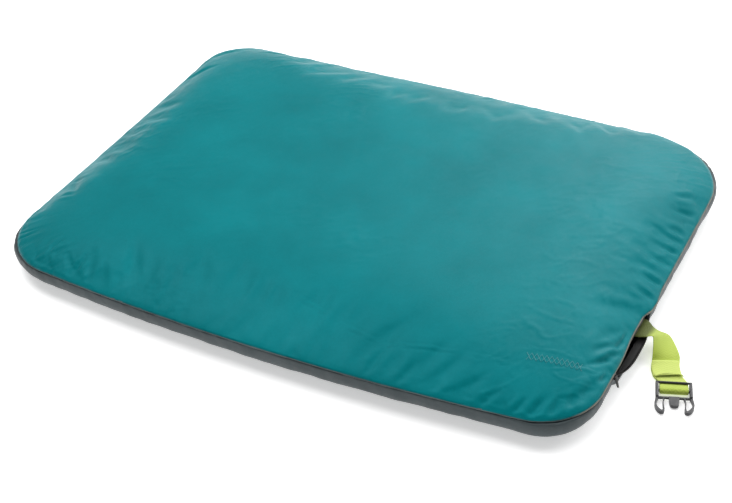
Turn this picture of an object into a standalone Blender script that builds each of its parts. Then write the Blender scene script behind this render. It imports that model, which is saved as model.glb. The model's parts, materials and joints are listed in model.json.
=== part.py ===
"""Camp pillow with a zipped end pocket, a carry strap and a side-release buckle.

Metres, +Z up.  The origin is the centre of the flat face the pillow rests on.
+X runs along the pillow's length to the zipped end, +Y runs across it.
"""
import math

import bmesh
import bpy
from mathutils import Matrix, Vector

# Pillow outline at the seam.
LENGTH = 0.635
DEPTH = 0.4525
CORNER_RADII = (0.050, 0.090, 0.048, 0.065)  # front right, back right, back left, front left
BOW_RIGHT, BOW_BACK, BOW_LEFT, BOW_FRONT = 0.0022, 0.005, -0.001, 0.019
CORNER_STEPS = 7
LONG_STEPS = 12
SHORT_STEPS = 8

# Heights and thicknesses of the padded body.
SEAM_HEIGHT = 0.030
SHEET = 0.0012           # each fabric shell with its lining
GAP = 0.0004             # clearance between neighbouring layers
PIPING_RADIUS = 0.0015
PIPING_INSET = 0.0012
UPPER_RIM = SEAM_HEIGHT + PIPING_RADIUS + GAP
LOWER_RIM = SEAM_HEIGHT - PIPING_RADIUS - GAP
SIDE_INSET = 0.027       # how far the lower shell curls in from seam to resting face
RIM_INSET = 0.0006
SIDE_STEPS = 5
CROWN = 0.0255           # rise of the top panel above its rim
CROWN_REACH = 0.16       # distance from the seam at which the crown is flat
CROWN_POWER = 4
CORNER_SPREAD = 0.6      # how much rounder the contours get towards the crown
CROWN_INSETS = (0.006, 0.014, 0.026, 0.044, 0.070, 0.105, 0.150)
WADDING = 0.008
WADDING_INSET = 0.008
WADDING_TAPER = 0.030
CORE_END = 0.262         # the stuffing stops here, short of the end pocket

# Zip mouth in the zipped end, just below the seam.
MOUTH_FRONT, MOUTH_BACK = -0.1415, -0.0505
NOTCH_FRONT, NOTCH_BACK = -0.1535, -0.0455
NOTCH_FLOOR = 0.0155
LIP_OUT = 0.0088         # how far the lower lip bulges out in the middle of the mouth
LIP_DROP = 0.0048
LIP_IN = 0.0070          # how far the upper lip tucks in under the top panel
COIL_RADIUS = 0.0010
COIL_INSET = 0.0030      # coil line behind the seam where the mouth is closed
LOWER_COIL_Z, UPPER_COIL_Z = 0.0220, 0.0257
COIL_SIDES = 8
COIL_FROM_END, COIL_PAST_MOUTH = 0.0035, 0.0015
TAPE = 0.0008
TAPE_ROOT_INSET = 0.0040
TAPE_SAG = Vector((0.0004, 0, -0.0001))
TAPE_DROP = 0.0003
TAPE_END = 0.0005        # the tapes stop this far short of the notch's ends
ZIP_STEPS = 28

# Slider, placed at the front end of the mouth.
SLIDER_Y = -0.1462
SLIDER_LENGTH = 0.0070
SLIDER_PLATE = 0.0010
SLIDER_LOW, SLIDER_HIGH = 0.0206, 0.0271
SLIDER_BEVEL = 0.0003
OVERLAP = 0.0004         # joined solids run this far into each other
POST_LONG, POST_HALF = 0.0018, 0.0004
LUG_APART, LUG_THICK, LUG_HALF, LUG_NOSE = 0.0022, 0.0008, 0.0008, 0.0006
PIN_LONG, PIN_RADIUS = 0.0046, 0.00035
PULL_LENGTH = 0.0115
PULL_WIDTH = 0.0034
PULL_THICK = 0.0011
PULL_TOP = 0.0011        # how far the tab reaches above its pin
PULL_NARROW = 0.62       # width at the eye against the width at the drop's end
PULL_STEPS = 24
EYE_RADIUS, BOSS_RADIUS, BOSS_LONG = 0.00065, 0.0013, 0.0030
PULL_TILT = math.radians(15)
PIVOT_OUT = 0.0014
PIVOT_Z = 0.0262

# Pocket behind the mouth.
POCKET_WALL = 0.0008
POCKET_FRONT, POCKET_BACK = -0.165, 0.125
POCKET_PROFILE = ((0.2655, 0.0030), (0.2970, 0.0030), (0.3040, 0.0064),
                  (0.3080, 0.0105), (0.3080, 0.0283), (0.2655, 0.0283))

# Cutters that only have to reach past the shape they trim.
CORE_TRIM_TOP = 0.1
NOTCH_TRIM = ((0.29, NOTCH_FRONT, NOTCH_FLOOR), (0.35, NOTCH_BACK, 0.04))
POCKET_MOUTH = ((0.3060, -0.1500, 0.0120), (0.3120, -0.0490, 0.0275))

# Small metal stops at the ends of the zip.
STOP_LONG = 0.0020
STOP_FROM_END, STOP_PAST_MOUTH = 0.0011, 0.0027
STOP_HALF = Vector((0.0012, 0.0008, 0.0011))
STOP_BEVEL = 0.0003

# Webbing.
WEB_WIDTH = 0.0254
WEB = 0.0014
BUCKLE_AT = Vector((0.3660, -0.1189, 0.0040))   # centre of the bar that the webbing turns on
BUCKLE_HEADING = math.radians(-71)
BAR_RADIUS = 0.0015
LOOP_RADIUS = BAR_RADIUS + 0.0003 + WEB / 2
LOOP_START = 0.0120      # the webbing lies flat from this far behind the bar
LAYER = WEB + 0.0003     # height of one more layer of webbing
STRAP_LEFT = ((0.3192, -0.0812, 0.0212), (0.3222, -0.0802, 0.0214), (0.3258, -0.0788, 0.0218),
              (0.3300, -0.0742, 0.0202), (0.3318, -0.0766, 0.0150), (0.3341, -0.0838, 0.0085),
              (0.3352, -0.0885, 0.0036), (0.3373, -0.0970, 0.0016), (0.3421, -0.1058, 0.0015))
STRAP_RIGHT = ((0.3166, -0.0572, 0.0232), (0.3212, -0.0578, 0.0219), (0.3262, -0.0590, 0.0180),
               (0.3300, -0.0548, 0.0115), (0.3400, -0.0510, 0.0055), (0.3540, -0.0678, 0.0033),
               (0.3583, -0.0781, 0.0022), (0.3608, -0.0868, 0.0016), (0.3650, -0.0950, 0.0015))
STRAP_TAIL = ((0.0045, 0.0052), (0.0085, 0.0035), (0.0120, 0.0032))
TAIL_END = 0.35          # the tail stops this share of the way between the strap's flat points
HEM_END = 0.40           # the hem stops this share of the way from the last point to the loop
INNER_LEFT = ((0.3178, -0.0815, 0.0212), (0.3080, -0.0836, 0.0208), (0.2990, -0.0854, 0.0140),
              (0.2910, -0.0858, 0.0082), (0.2840, -0.0858, 0.0071), (0.2700, -0.0858, 0.0071))
INNER_RIGHT = ((0.3152, -0.0575, 0.0232), (0.3080, -0.0585, 0.0222), (0.2990, -0.0602, 0.0144),
               (0.2910, -0.0604, 0.0082), (0.2840, -0.0604, 0.0071), (0.2700, -0.0604, 0.0071))
ANCHOR_PATCH = ((0.2685, -0.0900, 0.0043), (0.2880, -0.0560, 0.0059))
ANCHOR_BARTACK = ((0.2720, -0.0840, 0.0081), (0.2745, -0.0620, 0.0088))
PATCH_BEVEL, BARTACK_BEVEL = 0.0004, 0.0002

# Male half of the buckle: u runs across the webbing and v towards the prongs.
RAIL_BOTTOM, RAIL_TOP = 0.0010, 0.0062
RAIL_U, RAIL_HALF = 0.0149, 0.0014
RAIL_BEVEL = 0.0007
REAR_V, FRONT_V = -0.0095, 0.0085
RAIL_BACK, RAIL_FRONT = REAR_V - 0.0011, FRONT_V + 0.0006
REAR_BAR_Z, REAR_BAR_RADIUS = 0.0053, 0.0011
CROSS_BAR = (0.0018, 0.0042)             # bottom and top
CROSS_BACK, CROSS_FRONT = FRONT_V - 0.0009, FRONT_V + 0.0005
GUIDE = (0.0014, 0.0050)                 # bottom and top
GUIDE_ROOT_V, GUIDE_NECK_V, GUIDE_TIP_V = FRONT_V - 0.0004, FRONT_V + 0.0070, FRONT_V + 0.0088
GUIDE_ROOT_HALF, GUIDE_NECK_HALF, GUIDE_TIP_HALF, GUIDE_TIP_LONG = 0.0048, 0.0042, 0.0038, 0.0026
PRONG = (0.0016, 0.0052)                 # bottom and top
PRONG_ROOT_V = FRONT_V + 0.0009
PRONG_PIVOT = (0.0105, 0.0090)
PRONG_PIVOT_Z = 0.0034
PRONG_POINTS = ((0.0149, PRONG_ROOT_V), (0.0160, 0.0135), (0.0165, 0.0175), (0.0158, 0.0215),
                (0.0138, 0.0250), (0.0112, 0.0270), (0.0096, 0.0255), (0.0095, 0.0215),
                (0.0098, 0.0165), (0.0096, 0.0125), (0.0088, PRONG_ROOT_V + 0.0004))
PRONG_WIDTHS = (0.0022, 0.0018, 0.0018, 0.0021, 0.0026, 0.0026, 0.0020, 0.0012, 0.0010, 0.0010, 0.0012)

# Socket half of the buckle, from the centre of its bar, with the tab that holds it.
FEMALE_AT = Vector((0.2840, 0.0700, 0.0110))
FEMALE_BODY = ((-0.0160, -0.0300, -0.0045), (0.0160, 0.0030, 0.0045))
FEMALE_BEVEL = 0.0012
FEMALE_SOCKET = ((-0.0128, -0.0400, -0.0028), (0.0128, -0.0060, 0.0028))
FEMALE_WINDOW = ((-0.0040, -0.0220, -0.0022), (0.0040, -0.0110, 0.0022))
FEMALE_WINDOW_X = 0.0140
FEMALE_SLOT = ((-0.0134, -0.0040, -0.01), (0.0134, 0.0060, 0.01))
FEMALE_BAR_LONG = 0.0290
TAB_HEADING = math.radians(-90)
TAB_TAIL = ((0.0080, 0.0100), (0.0170, 0.0074), (0.0260, 0.0066))
TAB_START, TAB_START_Z = 0.0260, 0.0047
TAB_DIP = Vector((0, 0.0150, -0.0058))
TAB_BARTACK = ((-0.0110, 0.0215, -0.0028), (0.0110, 0.0240, -0.0021))

COLOURS = {
    "teal": ((0.010, 0.225, 0.240), 0.45, 0.0),
    "charcoal": ((0.060, 0.075, 0.080), 0.60, 0.0),
    "white_fill": ((0.80, 0.80, 0.78), 0.90, 0.0),
    "black_fabric": ((0.015, 0.015, 0.016), 0.85, 0.0),
    "black_plastic": ((0.030, 0.030, 0.033), 0.40, 0.0),
    "lime": ((0.42, 0.56, 0.07), 0.75, 0.0),
    "dark_metal": ((0.050, 0.050, 0.055), 0.35, 0.8),
}


def clear_scene():
    for old in list(bpy.data.objects):
        bpy.data.objects.remove(old, do_unlink=True)


def material(name):
    existing = bpy.data.materials.get(name)
    if existing:
        return existing
    colour, roughness, metallic = COLOURS[name]
    made = bpy.data.materials.new(name)
    made.use_nodes = True
    shader = made.node_tree.nodes["Principled BSDF"]
    shader.inputs["Base Color"].default_value = (*colour, 1.0)
    shader.inputs["Roughness"].default_value = roughness
    shader.inputs["Metallic"].default_value = metallic
    return made


def add_object(name, bm, finish, smooth=True):
    """Turn a bmesh into a named object with outward faces."""
    bmesh.ops.recalc_face_normals(bm, faces=bm.faces)
    mesh = bpy.data.meshes.new(name)
    bm.to_mesh(mesh)
    bm.free()
    mesh.materials.append(material(finish))
    if smooth:
        mesh.shade_smooth()
        mesh.set_sharp_from_angle(angle=math.radians(35))
    made = bpy.data.objects.new(name, mesh)
    bpy.context.collection.objects.link(made)
    return made


def set_origin(target, point):
    """Move an object's origin to a point without moving its shape."""
    target.data.transform(Matrix.Translation(-Vector(point)))
    target.location = point


def boolean(target, tool, operation):
    """Apply one exact Boolean and remove its tool object."""
    tool.hide_render = True
    tool.display_type = "WIRE"
    modifier = target.modifiers.new(operation.lower(), "BOOLEAN")
    modifier.operation = operation
    modifier.solver = "EXACT"
    modifier.object = tool
    graph = bpy.context.evaluated_depsgraph_get()
    result = bpy.data.meshes.new_from_object(target.evaluated_get(graph))
    target.modifiers.clear()
    target.data = result
    bpy.data.objects.remove(tool, do_unlink=True)


# Outline and lofted shells.

def bowed(x, y):
    """Push a point outwards by the bow of the side it lies towards."""
    along_x, along_y = 2 * x / LENGTH, 2 * y / DEPTH
    side = BOW_RIGHT if x > 0 else -BOW_LEFT
    end = BOW_BACK if y > 0 else -BOW_FRONT
    x += side * along_x ** 4 * max(0.0, 1 - along_y ** 2)
    y += end * along_y ** 4 * max(0.0, 1 - along_x ** 2)
    return x, y


def ring(inset, z, spread=-1.0):
    """Closed loop of points at one inset from the seam outline and one height."""
    half_x, half_y = LENGTH / 2 - inset, DEPTH / 2 - inset
    signs = ((1, -1), (1, 1), (-1, 1), (-1, -1))
    steps = (SHORT_STEPS, LONG_STEPS, SHORT_STEPS, LONG_STEPS)
    corners = []
    for index, (radius, (sx, sy)) in enumerate(zip(CORNER_RADII, signs)):
        radius = min(radius + spread * inset, 0.95 * half_y)
        centre = Vector((sx * (half_x - radius), sy * (half_y - radius)))
        start = -math.pi / 2 + index * math.pi / 2
        arc = []
        for step in range(CORNER_STEPS + 1):
            angle = start + math.pi / 2 * step / CORNER_STEPS
            arc.append(centre + radius * Vector((math.cos(angle), math.sin(angle))))
        corners.append(arc)
    points = []
    for index, arc in enumerate(corners):
        following = corners[(index + 1) % 4][0]
        points.extend(arc)
        for step in range(1, steps[index]):
            points.append(arc[-1].lerp(following, step / steps[index]))
    return [Vector((*bowed(point.x, point.y), z)) for point in points]


def loft(name, rings, finish, smooth=True):
    """Bridge equal rings in order and cap both ends."""
    bm = bmesh.new()
    loops = [[bm.verts.new(point) for point in loop] for loop in rings]
    for low, high in zip(loops, loops[1:]):
        count = len(low)
        for index in range(count):
            after = (index + 1) % count
            bm.faces.new((low[index], low[after], high[after], high[index]))
    bm.faces.new(loops[0])
    bm.faces.new(loops[-1])
    return add_object(name, bm, finish, smooth)


def crown_z(inset):
    """Height of the top panel's outer face at an inset from the seam."""
    left = max(0.0, 1 - inset / CROWN_REACH)
    return UPPER_RIM + CROWN * (1 - left ** CROWN_POWER)


def wadding_floor(inset):
    """Height of the wadding's underside at an inset from the seam."""
    depth = WADDING * min(1.0, max(0.0, (inset - WADDING_INSET) / WADDING_TAPER))
    return crown_z(inset) - SHEET - GAP - depth


def side_ring(layer, share):
    """Ring on the curled side wall, a layer's depth inside its outer face."""
    angle = math.pi / 2 * share
    inset = SIDE_INSET + RIM_INSET - (SIDE_INSET - layer) * math.cos(angle)
    return ring(inset, LOWER_RIM - (LOWER_RIM - layer) * math.sin(angle))


def side_rings(layer):
    """Rings down the side wall from the rim to the flat base."""
    return [side_ring(layer, step / SIDE_STEPS) for step in range(SIDE_STEPS + 1)]


def seam_x(y):
    """Seam line of the zipped end at a given y."""
    return bowed(LENGTH / 2, y)[0]


def make_top_panel():
    outer = [ring(0.0, UPPER_RIM, CORNER_SPREAD)]
    inner = [ring(SHEET, UPPER_RIM, CORNER_SPREAD)]
    for inset in CROWN_INSETS:
        outer.append(ring(inset, crown_z(inset), CORNER_SPREAD))
        inner.append(ring(inset, crown_z(inset) - SHEET, CORNER_SPREAD))
    loft("top_panel", inner[::-1] + outer, "teal")


def make_wadding():
    top = [ring(WADDING_INSET, crown_z(WADDING_INSET) - SHEET - GAP, CORNER_SPREAD)]
    under = []
    for inset in CROWN_INSETS[1:]:
        top.append(ring(inset, crown_z(inset) - SHEET - GAP, CORNER_SPREAD))
        under.append(ring(inset, wadding_floor(inset), CORNER_SPREAD))
    loft("top_wadding", under[::-1] + top, "white_fill")


def make_core():
    rings = side_rings(SHEET + GAP)[::-1]
    rings.append(ring(0.0046, SEAM_HEIGHT, CORNER_SPREAD))
    for inset in (WADDING_INSET, *CROWN_INSETS[1:]):
        rings.append(ring(inset, wadding_floor(inset) - GAP, CORNER_SPREAD))
    core = loft("stuffing_core", rings, "white_fill")
    beyond = box("core_cutter", (CORE_END, -DEPTH, -CORE_TRIM_TOP), (LENGTH, DEPTH, CORE_TRIM_TOP),
                 "white_fill")
    boolean(core, beyond, "DIFFERENCE")


def make_bottom_panel():
    panel = loft("bottom_panel", side_rings(0.0)[::-1] + side_rings(SHEET), "charcoal")
    notch = box("notch_cutter", *NOTCH_TRIM, "charcoal")
    boolean(panel, notch, "DIFFERENCE")


def make_piping():
    curve = bpy.data.curves.new("seam_piping", "CURVE")
    curve.dimensions = "3D"
    curve.bevel_depth = PIPING_RADIUS
    curve.bevel_resolution = 2
    points = ring(PIPING_INSET, SEAM_HEIGHT)
    spline = curve.splines.new("POLY")
    spline.points.add(len(points) - 1)
    for target, point in zip(spline.points, points):
        target.co = (*point, 1.0)
    spline.use_cyclic_u = True
    curve.materials.append(material("charcoal"))
    piping = bpy.data.objects.new("seam_piping", curve)
    bpy.context.collection.objects.link(piping)


# Simple solids.

def box(name, low, high, finish):
    bm = bmesh.new()
    bmesh.ops.create_cube(bm, size=1.0)
    low, high = Vector(low), Vector(high)
    for vert in bm.verts:
        vert.co = Vector(low[i] + (vert.co[i] + 0.5) * (high[i] - low[i]) for i in range(3))
    return add_object(name, bm, finish, smooth=False)


def round_edges(target, width):
    """Round every edge of a solid over."""
    bm = bmesh.new()
    bm.from_mesh(target.data)
    bmesh.ops.bevel(bm, geom=bm.edges[:], offset=width, segments=2, affect="EDGES", profile=0.6)
    bm.to_mesh(target.data)
    bm.free()


def soft_box(name, low, high, finish, bevel):
    made = box(name, low, high, finish)
    round_edges(made, bevel)
    return made


def rod(name, centre, axis, length, radius, finish, sides=16):
    bm = bmesh.new()
    bmesh.ops.create_cone(bm, cap_ends=True, segments=sides, radius1=radius, radius2=radius, depth=length)
    turn = Vector(axis).to_track_quat("Z", "Y").to_matrix().to_4x4()
    bmesh.ops.transform(bm, matrix=Matrix.Translation(centre) @ turn, verts=bm.verts)
    return add_object(name, bm, finish)


def prism(name, outline, low, high, place, finish, smooth=False):
    """Extrude a closed 2-D outline between two depths; place(u, v, depth) gives the point."""
    rings = [[Vector(place(u, v, depth)) for u, v in outline] for depth in (low, high)]
    return loft(name, rings, finish, smooth=smooth)


def smooth_path(points, steps):
    """Catmull-Rom curve through hand-placed points."""
    padded = [2 * points[0] - points[1], *points, 2 * points[-1] - points[-2]]
    path = []
    for before, start, end, after in zip(padded, padded[1:], padded[2:], padded[3:]):
        for step in range(steps):
            t = step / steps
            path.append(0.5 * (2 * start + (end - before) * t
                               + (2 * before - 5 * start + 4 * end - after) * t * t
                               + (3 * start - before - 3 * end + after) * t ** 3))
    path.append(points[-1])
    return path


def ribbon(name, left, right, thickness, finish):
    """Flat webbing between two matching edge paths."""
    rings = []
    last = len(left) - 1
    for index, (a, b) in enumerate(zip(left, right)):
        ahead = min(index + 1, last)
        behind = max(index - 1, 0)
        along = (left[ahead] + right[ahead] - left[behind] - right[behind]).normalized()
        normal = (b - a).cross(along).normalized() * thickness / 2
        rings.append([a - normal, b - normal, b + normal, a + normal])
    return loft(name, rings, finish, smooth=False)


# Zip.

def gape(y):
    """How far the mouth is open at a given y, from 0 at its ends to 1 in the middle."""
    share = (y - MOUTH_FRONT) / (MOUTH_BACK - MOUTH_FRONT)
    return max(0.0, 1 - abs(2 * share - 1) ** 3)


def lower_coil(y):
    opened = gape(y)
    return Vector((seam_x(y) - COIL_INSET + LIP_OUT * opened, y, LOWER_COIL_Z - LIP_DROP * opened))


def upper_coil(y):
    return Vector((seam_x(y) - COIL_INSET - LIP_IN * gape(y), y, UPPER_COIL_Z))


def lower_tape_line(y):
    """Centre line of the lower tape from its sewn root to its coil edge."""
    root = Vector((seam_x(y) - TAPE_ROOT_INSET, y, NOTCH_FLOOR + TAPE))
    coil = lower_coil(y)
    edge = coil - (coil - root).normalized() * (COIL_RADIUS + GAP)
    middle = root.lerp(edge, 0.5) + TAPE_SAG * gape(y)
    return root, middle, edge


def upper_tape_line(y):
    """Centre line of the upper tape from under the piping to its coil edge."""
    root = Vector((seam_x(y) - COIL_INSET + GAP, y, LOWER_RIM - RIM_INSET))
    coil = upper_coil(y)
    edge = coil + (root - coil).normalized() * (COIL_RADIUS + GAP)
    edge.z = min(edge.z, root.z - TAPE_DROP)
    return root, root.lerp(edge, 0.5), edge


def tape(name, line):
    """Strip of zip tape lofted along the mouth."""
    rings = []
    for step in range(ZIP_STEPS + 1):
        y = NOTCH_FRONT + TAPE_END + (NOTCH_BACK - NOTCH_FRONT - 2 * TAPE_END) * step / ZIP_STEPS
        points = line(y)
        across = (points[-1] - points[0]).normalized()
        normal = across.cross(Vector((0, 1, 0))) * TAPE / 2
        rings.append([point - normal for point in points] + [point + normal for point in points[::-1]])
    loft(name, rings, "black_fabric")


def coil(name, line):
    """Row of zip teeth as one plain round bead along the tape's edge."""
    front, back = NOTCH_FRONT + COIL_FROM_END, MOUTH_BACK + COIL_PAST_MOUTH
    rings = []
    for step in range(ZIP_STEPS + 1):
        centre = line(front + (back - front) * step / ZIP_STEPS)
        loop = []
        for side in range(COIL_SIDES):
            angle = math.tau * side / COIL_SIDES
            loop.append(centre + COIL_RADIUS * Vector((math.cos(angle), 0, math.sin(angle))))
        rings.append(loop)
    loft(name, rings, "black_plastic")


def make_zip():
    tape("zip_tape_lower", lower_tape_line)
    tape("zip_tape_upper", upper_tape_line)
    coil("zip_coil_lower", lower_coil)
    coil("zip_coil_upper", upper_coil)
    x = seam_x(NOTCH_FRONT) - COIL_INSET
    front = NOTCH_FRONT + STOP_FROM_END
    soft_box("zip_bottom_stop", (x - STOP_HALF.x, front, LOWER_COIL_Z - STOP_HALF.y),
             (x + STOP_HALF.x, front + STOP_LONG, UPPER_COIL_Z + STOP_HALF.y), "dark_metal", STOP_BEVEL)
    for name, line in (("zip_top_stop_upper", upper_coil), ("zip_top_stop_lower", lower_coil)):
        centre = line(MOUTH_BACK + STOP_PAST_MOUTH)
        soft_box(name, centre - STOP_HALF, centre + STOP_HALF, "dark_metal", STOP_BEVEL)


def make_slider():
    """Slider that straddles the tapes, with a small bridge for its pull."""
    line = seam_x(SLIDER_Y) - COIL_INSET
    front, back = SLIDER_Y - SLIDER_LENGTH / 2, SLIDER_Y + SLIDER_LENGTH / 2
    reach = COIL_RADIUS + GAP
    slider = soft_box("zip_slider_body", (line + reach, front, SLIDER_LOW),
                      (line + reach + SLIDER_PLATE, back, SLIDER_HIGH), "dark_metal", SLIDER_BEVEL)
    inner = soft_box("inner_plate", (line - reach - SLIDER_PLATE, front, SLIDER_LOW),
                     (line - reach, back, SLIDER_HIGH), "dark_metal", SLIDER_BEVEL)
    middle = (LOWER_COIL_Z + UPPER_COIL_Z) / 2
    post = box("post", (line - reach - OVERLAP, back - POST_LONG - OVERLAP, middle - POST_HALF),
               (line + reach + OVERLAP, back - OVERLAP, middle + POST_HALF), "dark_metal")
    boolean(slider, inner, "UNION")
    boolean(slider, post, "UNION")
    pivot = Vector((seam_x(SLIDER_Y) + PIVOT_OUT, SLIDER_Y, PIVOT_Z))
    for side in (-1, 1):
        lug_y = SLIDER_Y + side * LUG_APART
        lug = box("lug", (line + reach + OVERLAP, lug_y - LUG_THICK / 2, PIVOT_Z - LUG_HALF),
                  (pivot.x + LUG_NOSE, lug_y + LUG_THICK / 2, PIVOT_Z + LUG_HALF), "dark_metal")
        boolean(slider, lug, "UNION")
    pin = rod("pin", pivot, (0, 1, 0), PIN_LONG, PIN_RADIUS, "dark_metal", sides=12)
    boolean(slider, pin, "UNION")
    return pivot


def make_pull(pivot):
    """Drop-shaped pull with an eye round the slider's pin, hanging a little outwards."""
    outline = []
    for step in range(PULL_STEPS):
        angle = math.tau * step / PULL_STEPS
        along = 0.5 - 0.5 * math.cos(angle)
        half = PULL_WIDTH / 2 * math.sin(angle) * (PULL_NARROW + (1 - PULL_NARROW) * along)
        outline.append((half, PULL_TOP - along * (PULL_LENGTH + PULL_TOP)))
    pull = prism("zip_pull_tab", outline, -PULL_THICK / 2, PULL_THICK / 2,
                 lambda across, drop, depth: (depth, across, drop), "black_plastic")
    eye = rod("eye_cutter", (0, 0, 0), (0, 1, 0), PULL_LENGTH, EYE_RADIUS, "black_plastic", sides=12)
    boss = rod("eye_boss", (0, 0, 0), (0, 1, 0), BOSS_LONG, BOSS_RADIUS, "black_plastic")
    boolean(pull, boss, "UNION")
    boolean(pull, eye, "DIFFERENCE")
    pull.data.transform(Matrix.Rotation(-PULL_TILT, 4, "Y"))
    pull.location = pivot


# Pocket, straps and anchors.

def make_pocket():
    def place(x, z, y):
        return x, y, z

    (back_x, floor_z), (_, roof_z) = POCKET_PROFILE[0], POCKET_PROFILE[-1]
    inner = []
    for x, z in POCKET_PROFILE:
        x += POCKET_WALL if x == back_x else -POCKET_WALL
        z += POCKET_WALL if z < (floor_z + roof_z) / 2 else -POCKET_WALL
        inner.append((x, z))
    lining = prism("pocket_lining", POCKET_PROFILE, POCKET_FRONT, POCKET_BACK, place, "black_fabric")
    hollow = prism("hollow", inner, POCKET_FRONT + POCKET_WALL, POCKET_BACK - POCKET_WALL,
                   place, "black_fabric")
    mouth = box("mouth", *POCKET_MOUTH, "black_fabric")
    boolean(hollow, mouth, "UNION")
    boolean(lining, hollow, "DIFFERENCE")


def edges_across(centres, headings):
    """Left and right edge points square to each heading."""
    left, right = [], []
    for centre, heading in zip(centres, headings):
        across = Vector((math.sin(heading), -math.cos(heading), 0)) * WEB_WIDTH / 2
        left.append(centre + across)
        right.append(centre - across)
    return left, right


def loop_path(at, heading, tail, start_back, start_z):
    """Webbing centres: under the bar, round its front and back over to a tail."""
    along = Vector((math.cos(heading), math.sin(heading), 0))
    lift = Vector((0, 0, 1))
    points = [at - along * start_back + lift * (start_z - at.z), at - lift * LOOP_RADIUS]
    for step in range(1, 8):
        angle = -math.pi / 2 + math.pi * step / 8
        points.append(at + LOOP_RADIUS * (along * math.cos(angle) + lift * math.sin(angle)))
    points.append(at + lift * LOOP_RADIUS)
    for back, height in tail:
        points.append(at - along * back + lift * (height - at.z))
    return points


def layered(points, layers):
    """The same points, raised by a number of webbing layers."""
    return [Vector(point) + Vector((0, 0, LAYER * layers)) for point in points]


def hemmed_tail(points, loop_start):
    """One edge of the tail: back over the strap, round its folded end and forward to the hem's edge."""
    last_flat, flat, last = [Vector(point) for point in points[-3:]]
    end = last_flat.lerp(flat, TAIL_END)
    backwards = (end - flat).normalized()
    fold = end + backwards * LAYER / 2 + Vector((0, 0, 1.5 * LAYER))
    hem = last.lerp(loop_start, HEM_END)
    return layered((last, flat, end), 1) + [fold] + layered((end, flat, last, hem), 2)


def make_outer_strap():
    """Webbing that leaves the mouth, drops one edge, swings round and loops the buckle's bar."""
    turn = loop_path(BUCKLE_AT, BUCKLE_HEADING, STRAP_TAIL, LOOP_START, BUCKLE_AT.z - LOOP_RADIUS)
    loops = edges_across(turn, [BUCKLE_HEADING] * len(turn))
    left, right = [smooth_path([Vector(point) for point in points], 4) + loop
                   + hemmed_tail(points, loop[0])
                   for points, loop in zip((STRAP_LEFT, STRAP_RIGHT), loops)]
    strap = ribbon("strap_outer", left, right, WEB, "lime")
    set_origin(strap, (left[0] + right[0]) / 2)


def make_inner_strap():
    """Webbing inside the pocket, from the mouth down to its stitched anchor."""
    left, right = [smooth_path([Vector(point) for point in points], 3)
                   for points in (INNER_LEFT, INNER_RIGHT)]
    ribbon("strap_inner", left, right, WEB, "lime")
    soft_box("strap_anchor_patch", *ANCHOR_PATCH, "black_fabric", PATCH_BEVEL)
    soft_box("strap_anchor_bartack", *ANCHOR_BARTACK, "lime", BARTACK_BEVEL)


def at_female(corners, shift=(0, 0, 0)):
    """Box corners given from the centre of the socket half's bar."""
    return [FEMALE_AT + Vector(corner) + Vector(shift) for corner in corners]


def make_female_half():
    """Socket half of the buckle on its short tab inside the pocket."""
    body = soft_box("female_buckle_body", *at_female(FEMALE_BODY), "black_plastic", FEMALE_BEVEL)
    cuts = [at_female(FEMALE_SOCKET), at_female(FEMALE_SLOT)]
    for side in (-1, 1):
        cuts.append(at_female(FEMALE_WINDOW, (side * FEMALE_WINDOW_X, 0, 0)))
    for corners in cuts:
        boolean(body, box("cut", *corners, "black_plastic"), "DIFFERENCE")
    bar = rod("bar", FEMALE_AT, (1, 0, 0), FEMALE_BAR_LONG, BAR_RADIUS, "black_plastic")
    boolean(body, bar, "UNION")
    set_origin(body, FEMALE_AT)

    turn = loop_path(FEMALE_AT, TAB_HEADING, TAB_TAIL, TAB_START, TAB_START_Z)
    turn.insert(1, FEMALE_AT + TAB_DIP)
    left, right = edges_across(turn, [TAB_HEADING] * len(turn))
    ribbon("female_tab", left, right, WEB, "lime")
    soft_box("female_tab_bartack", *at_female(TAB_BARTACK), "lime", BARTACK_BEVEL)


# Male half of the buckle.

def in_buckle(u, v, height):
    """Point u across the webbing and v towards the prongs from the bar's centre."""
    along = Vector((math.cos(BUCKLE_HEADING), math.sin(BUCKLE_HEADING), 0))
    across = Vector((-along.y, along.x, 0))
    return Vector((BUCKLE_AT.x, BUCKLE_AT.y, height)) + across * u + along * v


def buckle_plate(name, outline, heights, smooth=False):
    return prism(name, outline, *heights, in_buckle, "black_plastic", smooth)


def thick_line(points, widths):
    """Outline of a bar of changing width along a centre line."""
    one, two = [], []
    last = len(points) - 1
    for index, (point, width) in enumerate(zip(points, widths)):
        along = (points[min(index + 1, last)] - points[max(index - 1, 0)]).normalized()
        across = Vector((-along.y, along.x)) * width / 2
        one.append(tuple(point + across))
        two.append(tuple(point - across))
    return one + two[::-1]


def rectangle(u_low, v_low, u_high, v_high):
    return [(u_low, v_low), (u_high, v_low), (u_high, v_high), (u_low, v_high)]


def make_rail(name, u):
    rail = buckle_plate(name, rectangle(u - RAIL_HALF, RAIL_BACK, u + RAIL_HALF, RAIL_FRONT),
                        (RAIL_BOTTOM, RAIL_TOP))
    round_edges(rail, RAIL_BEVEL)
    return rail


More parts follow.
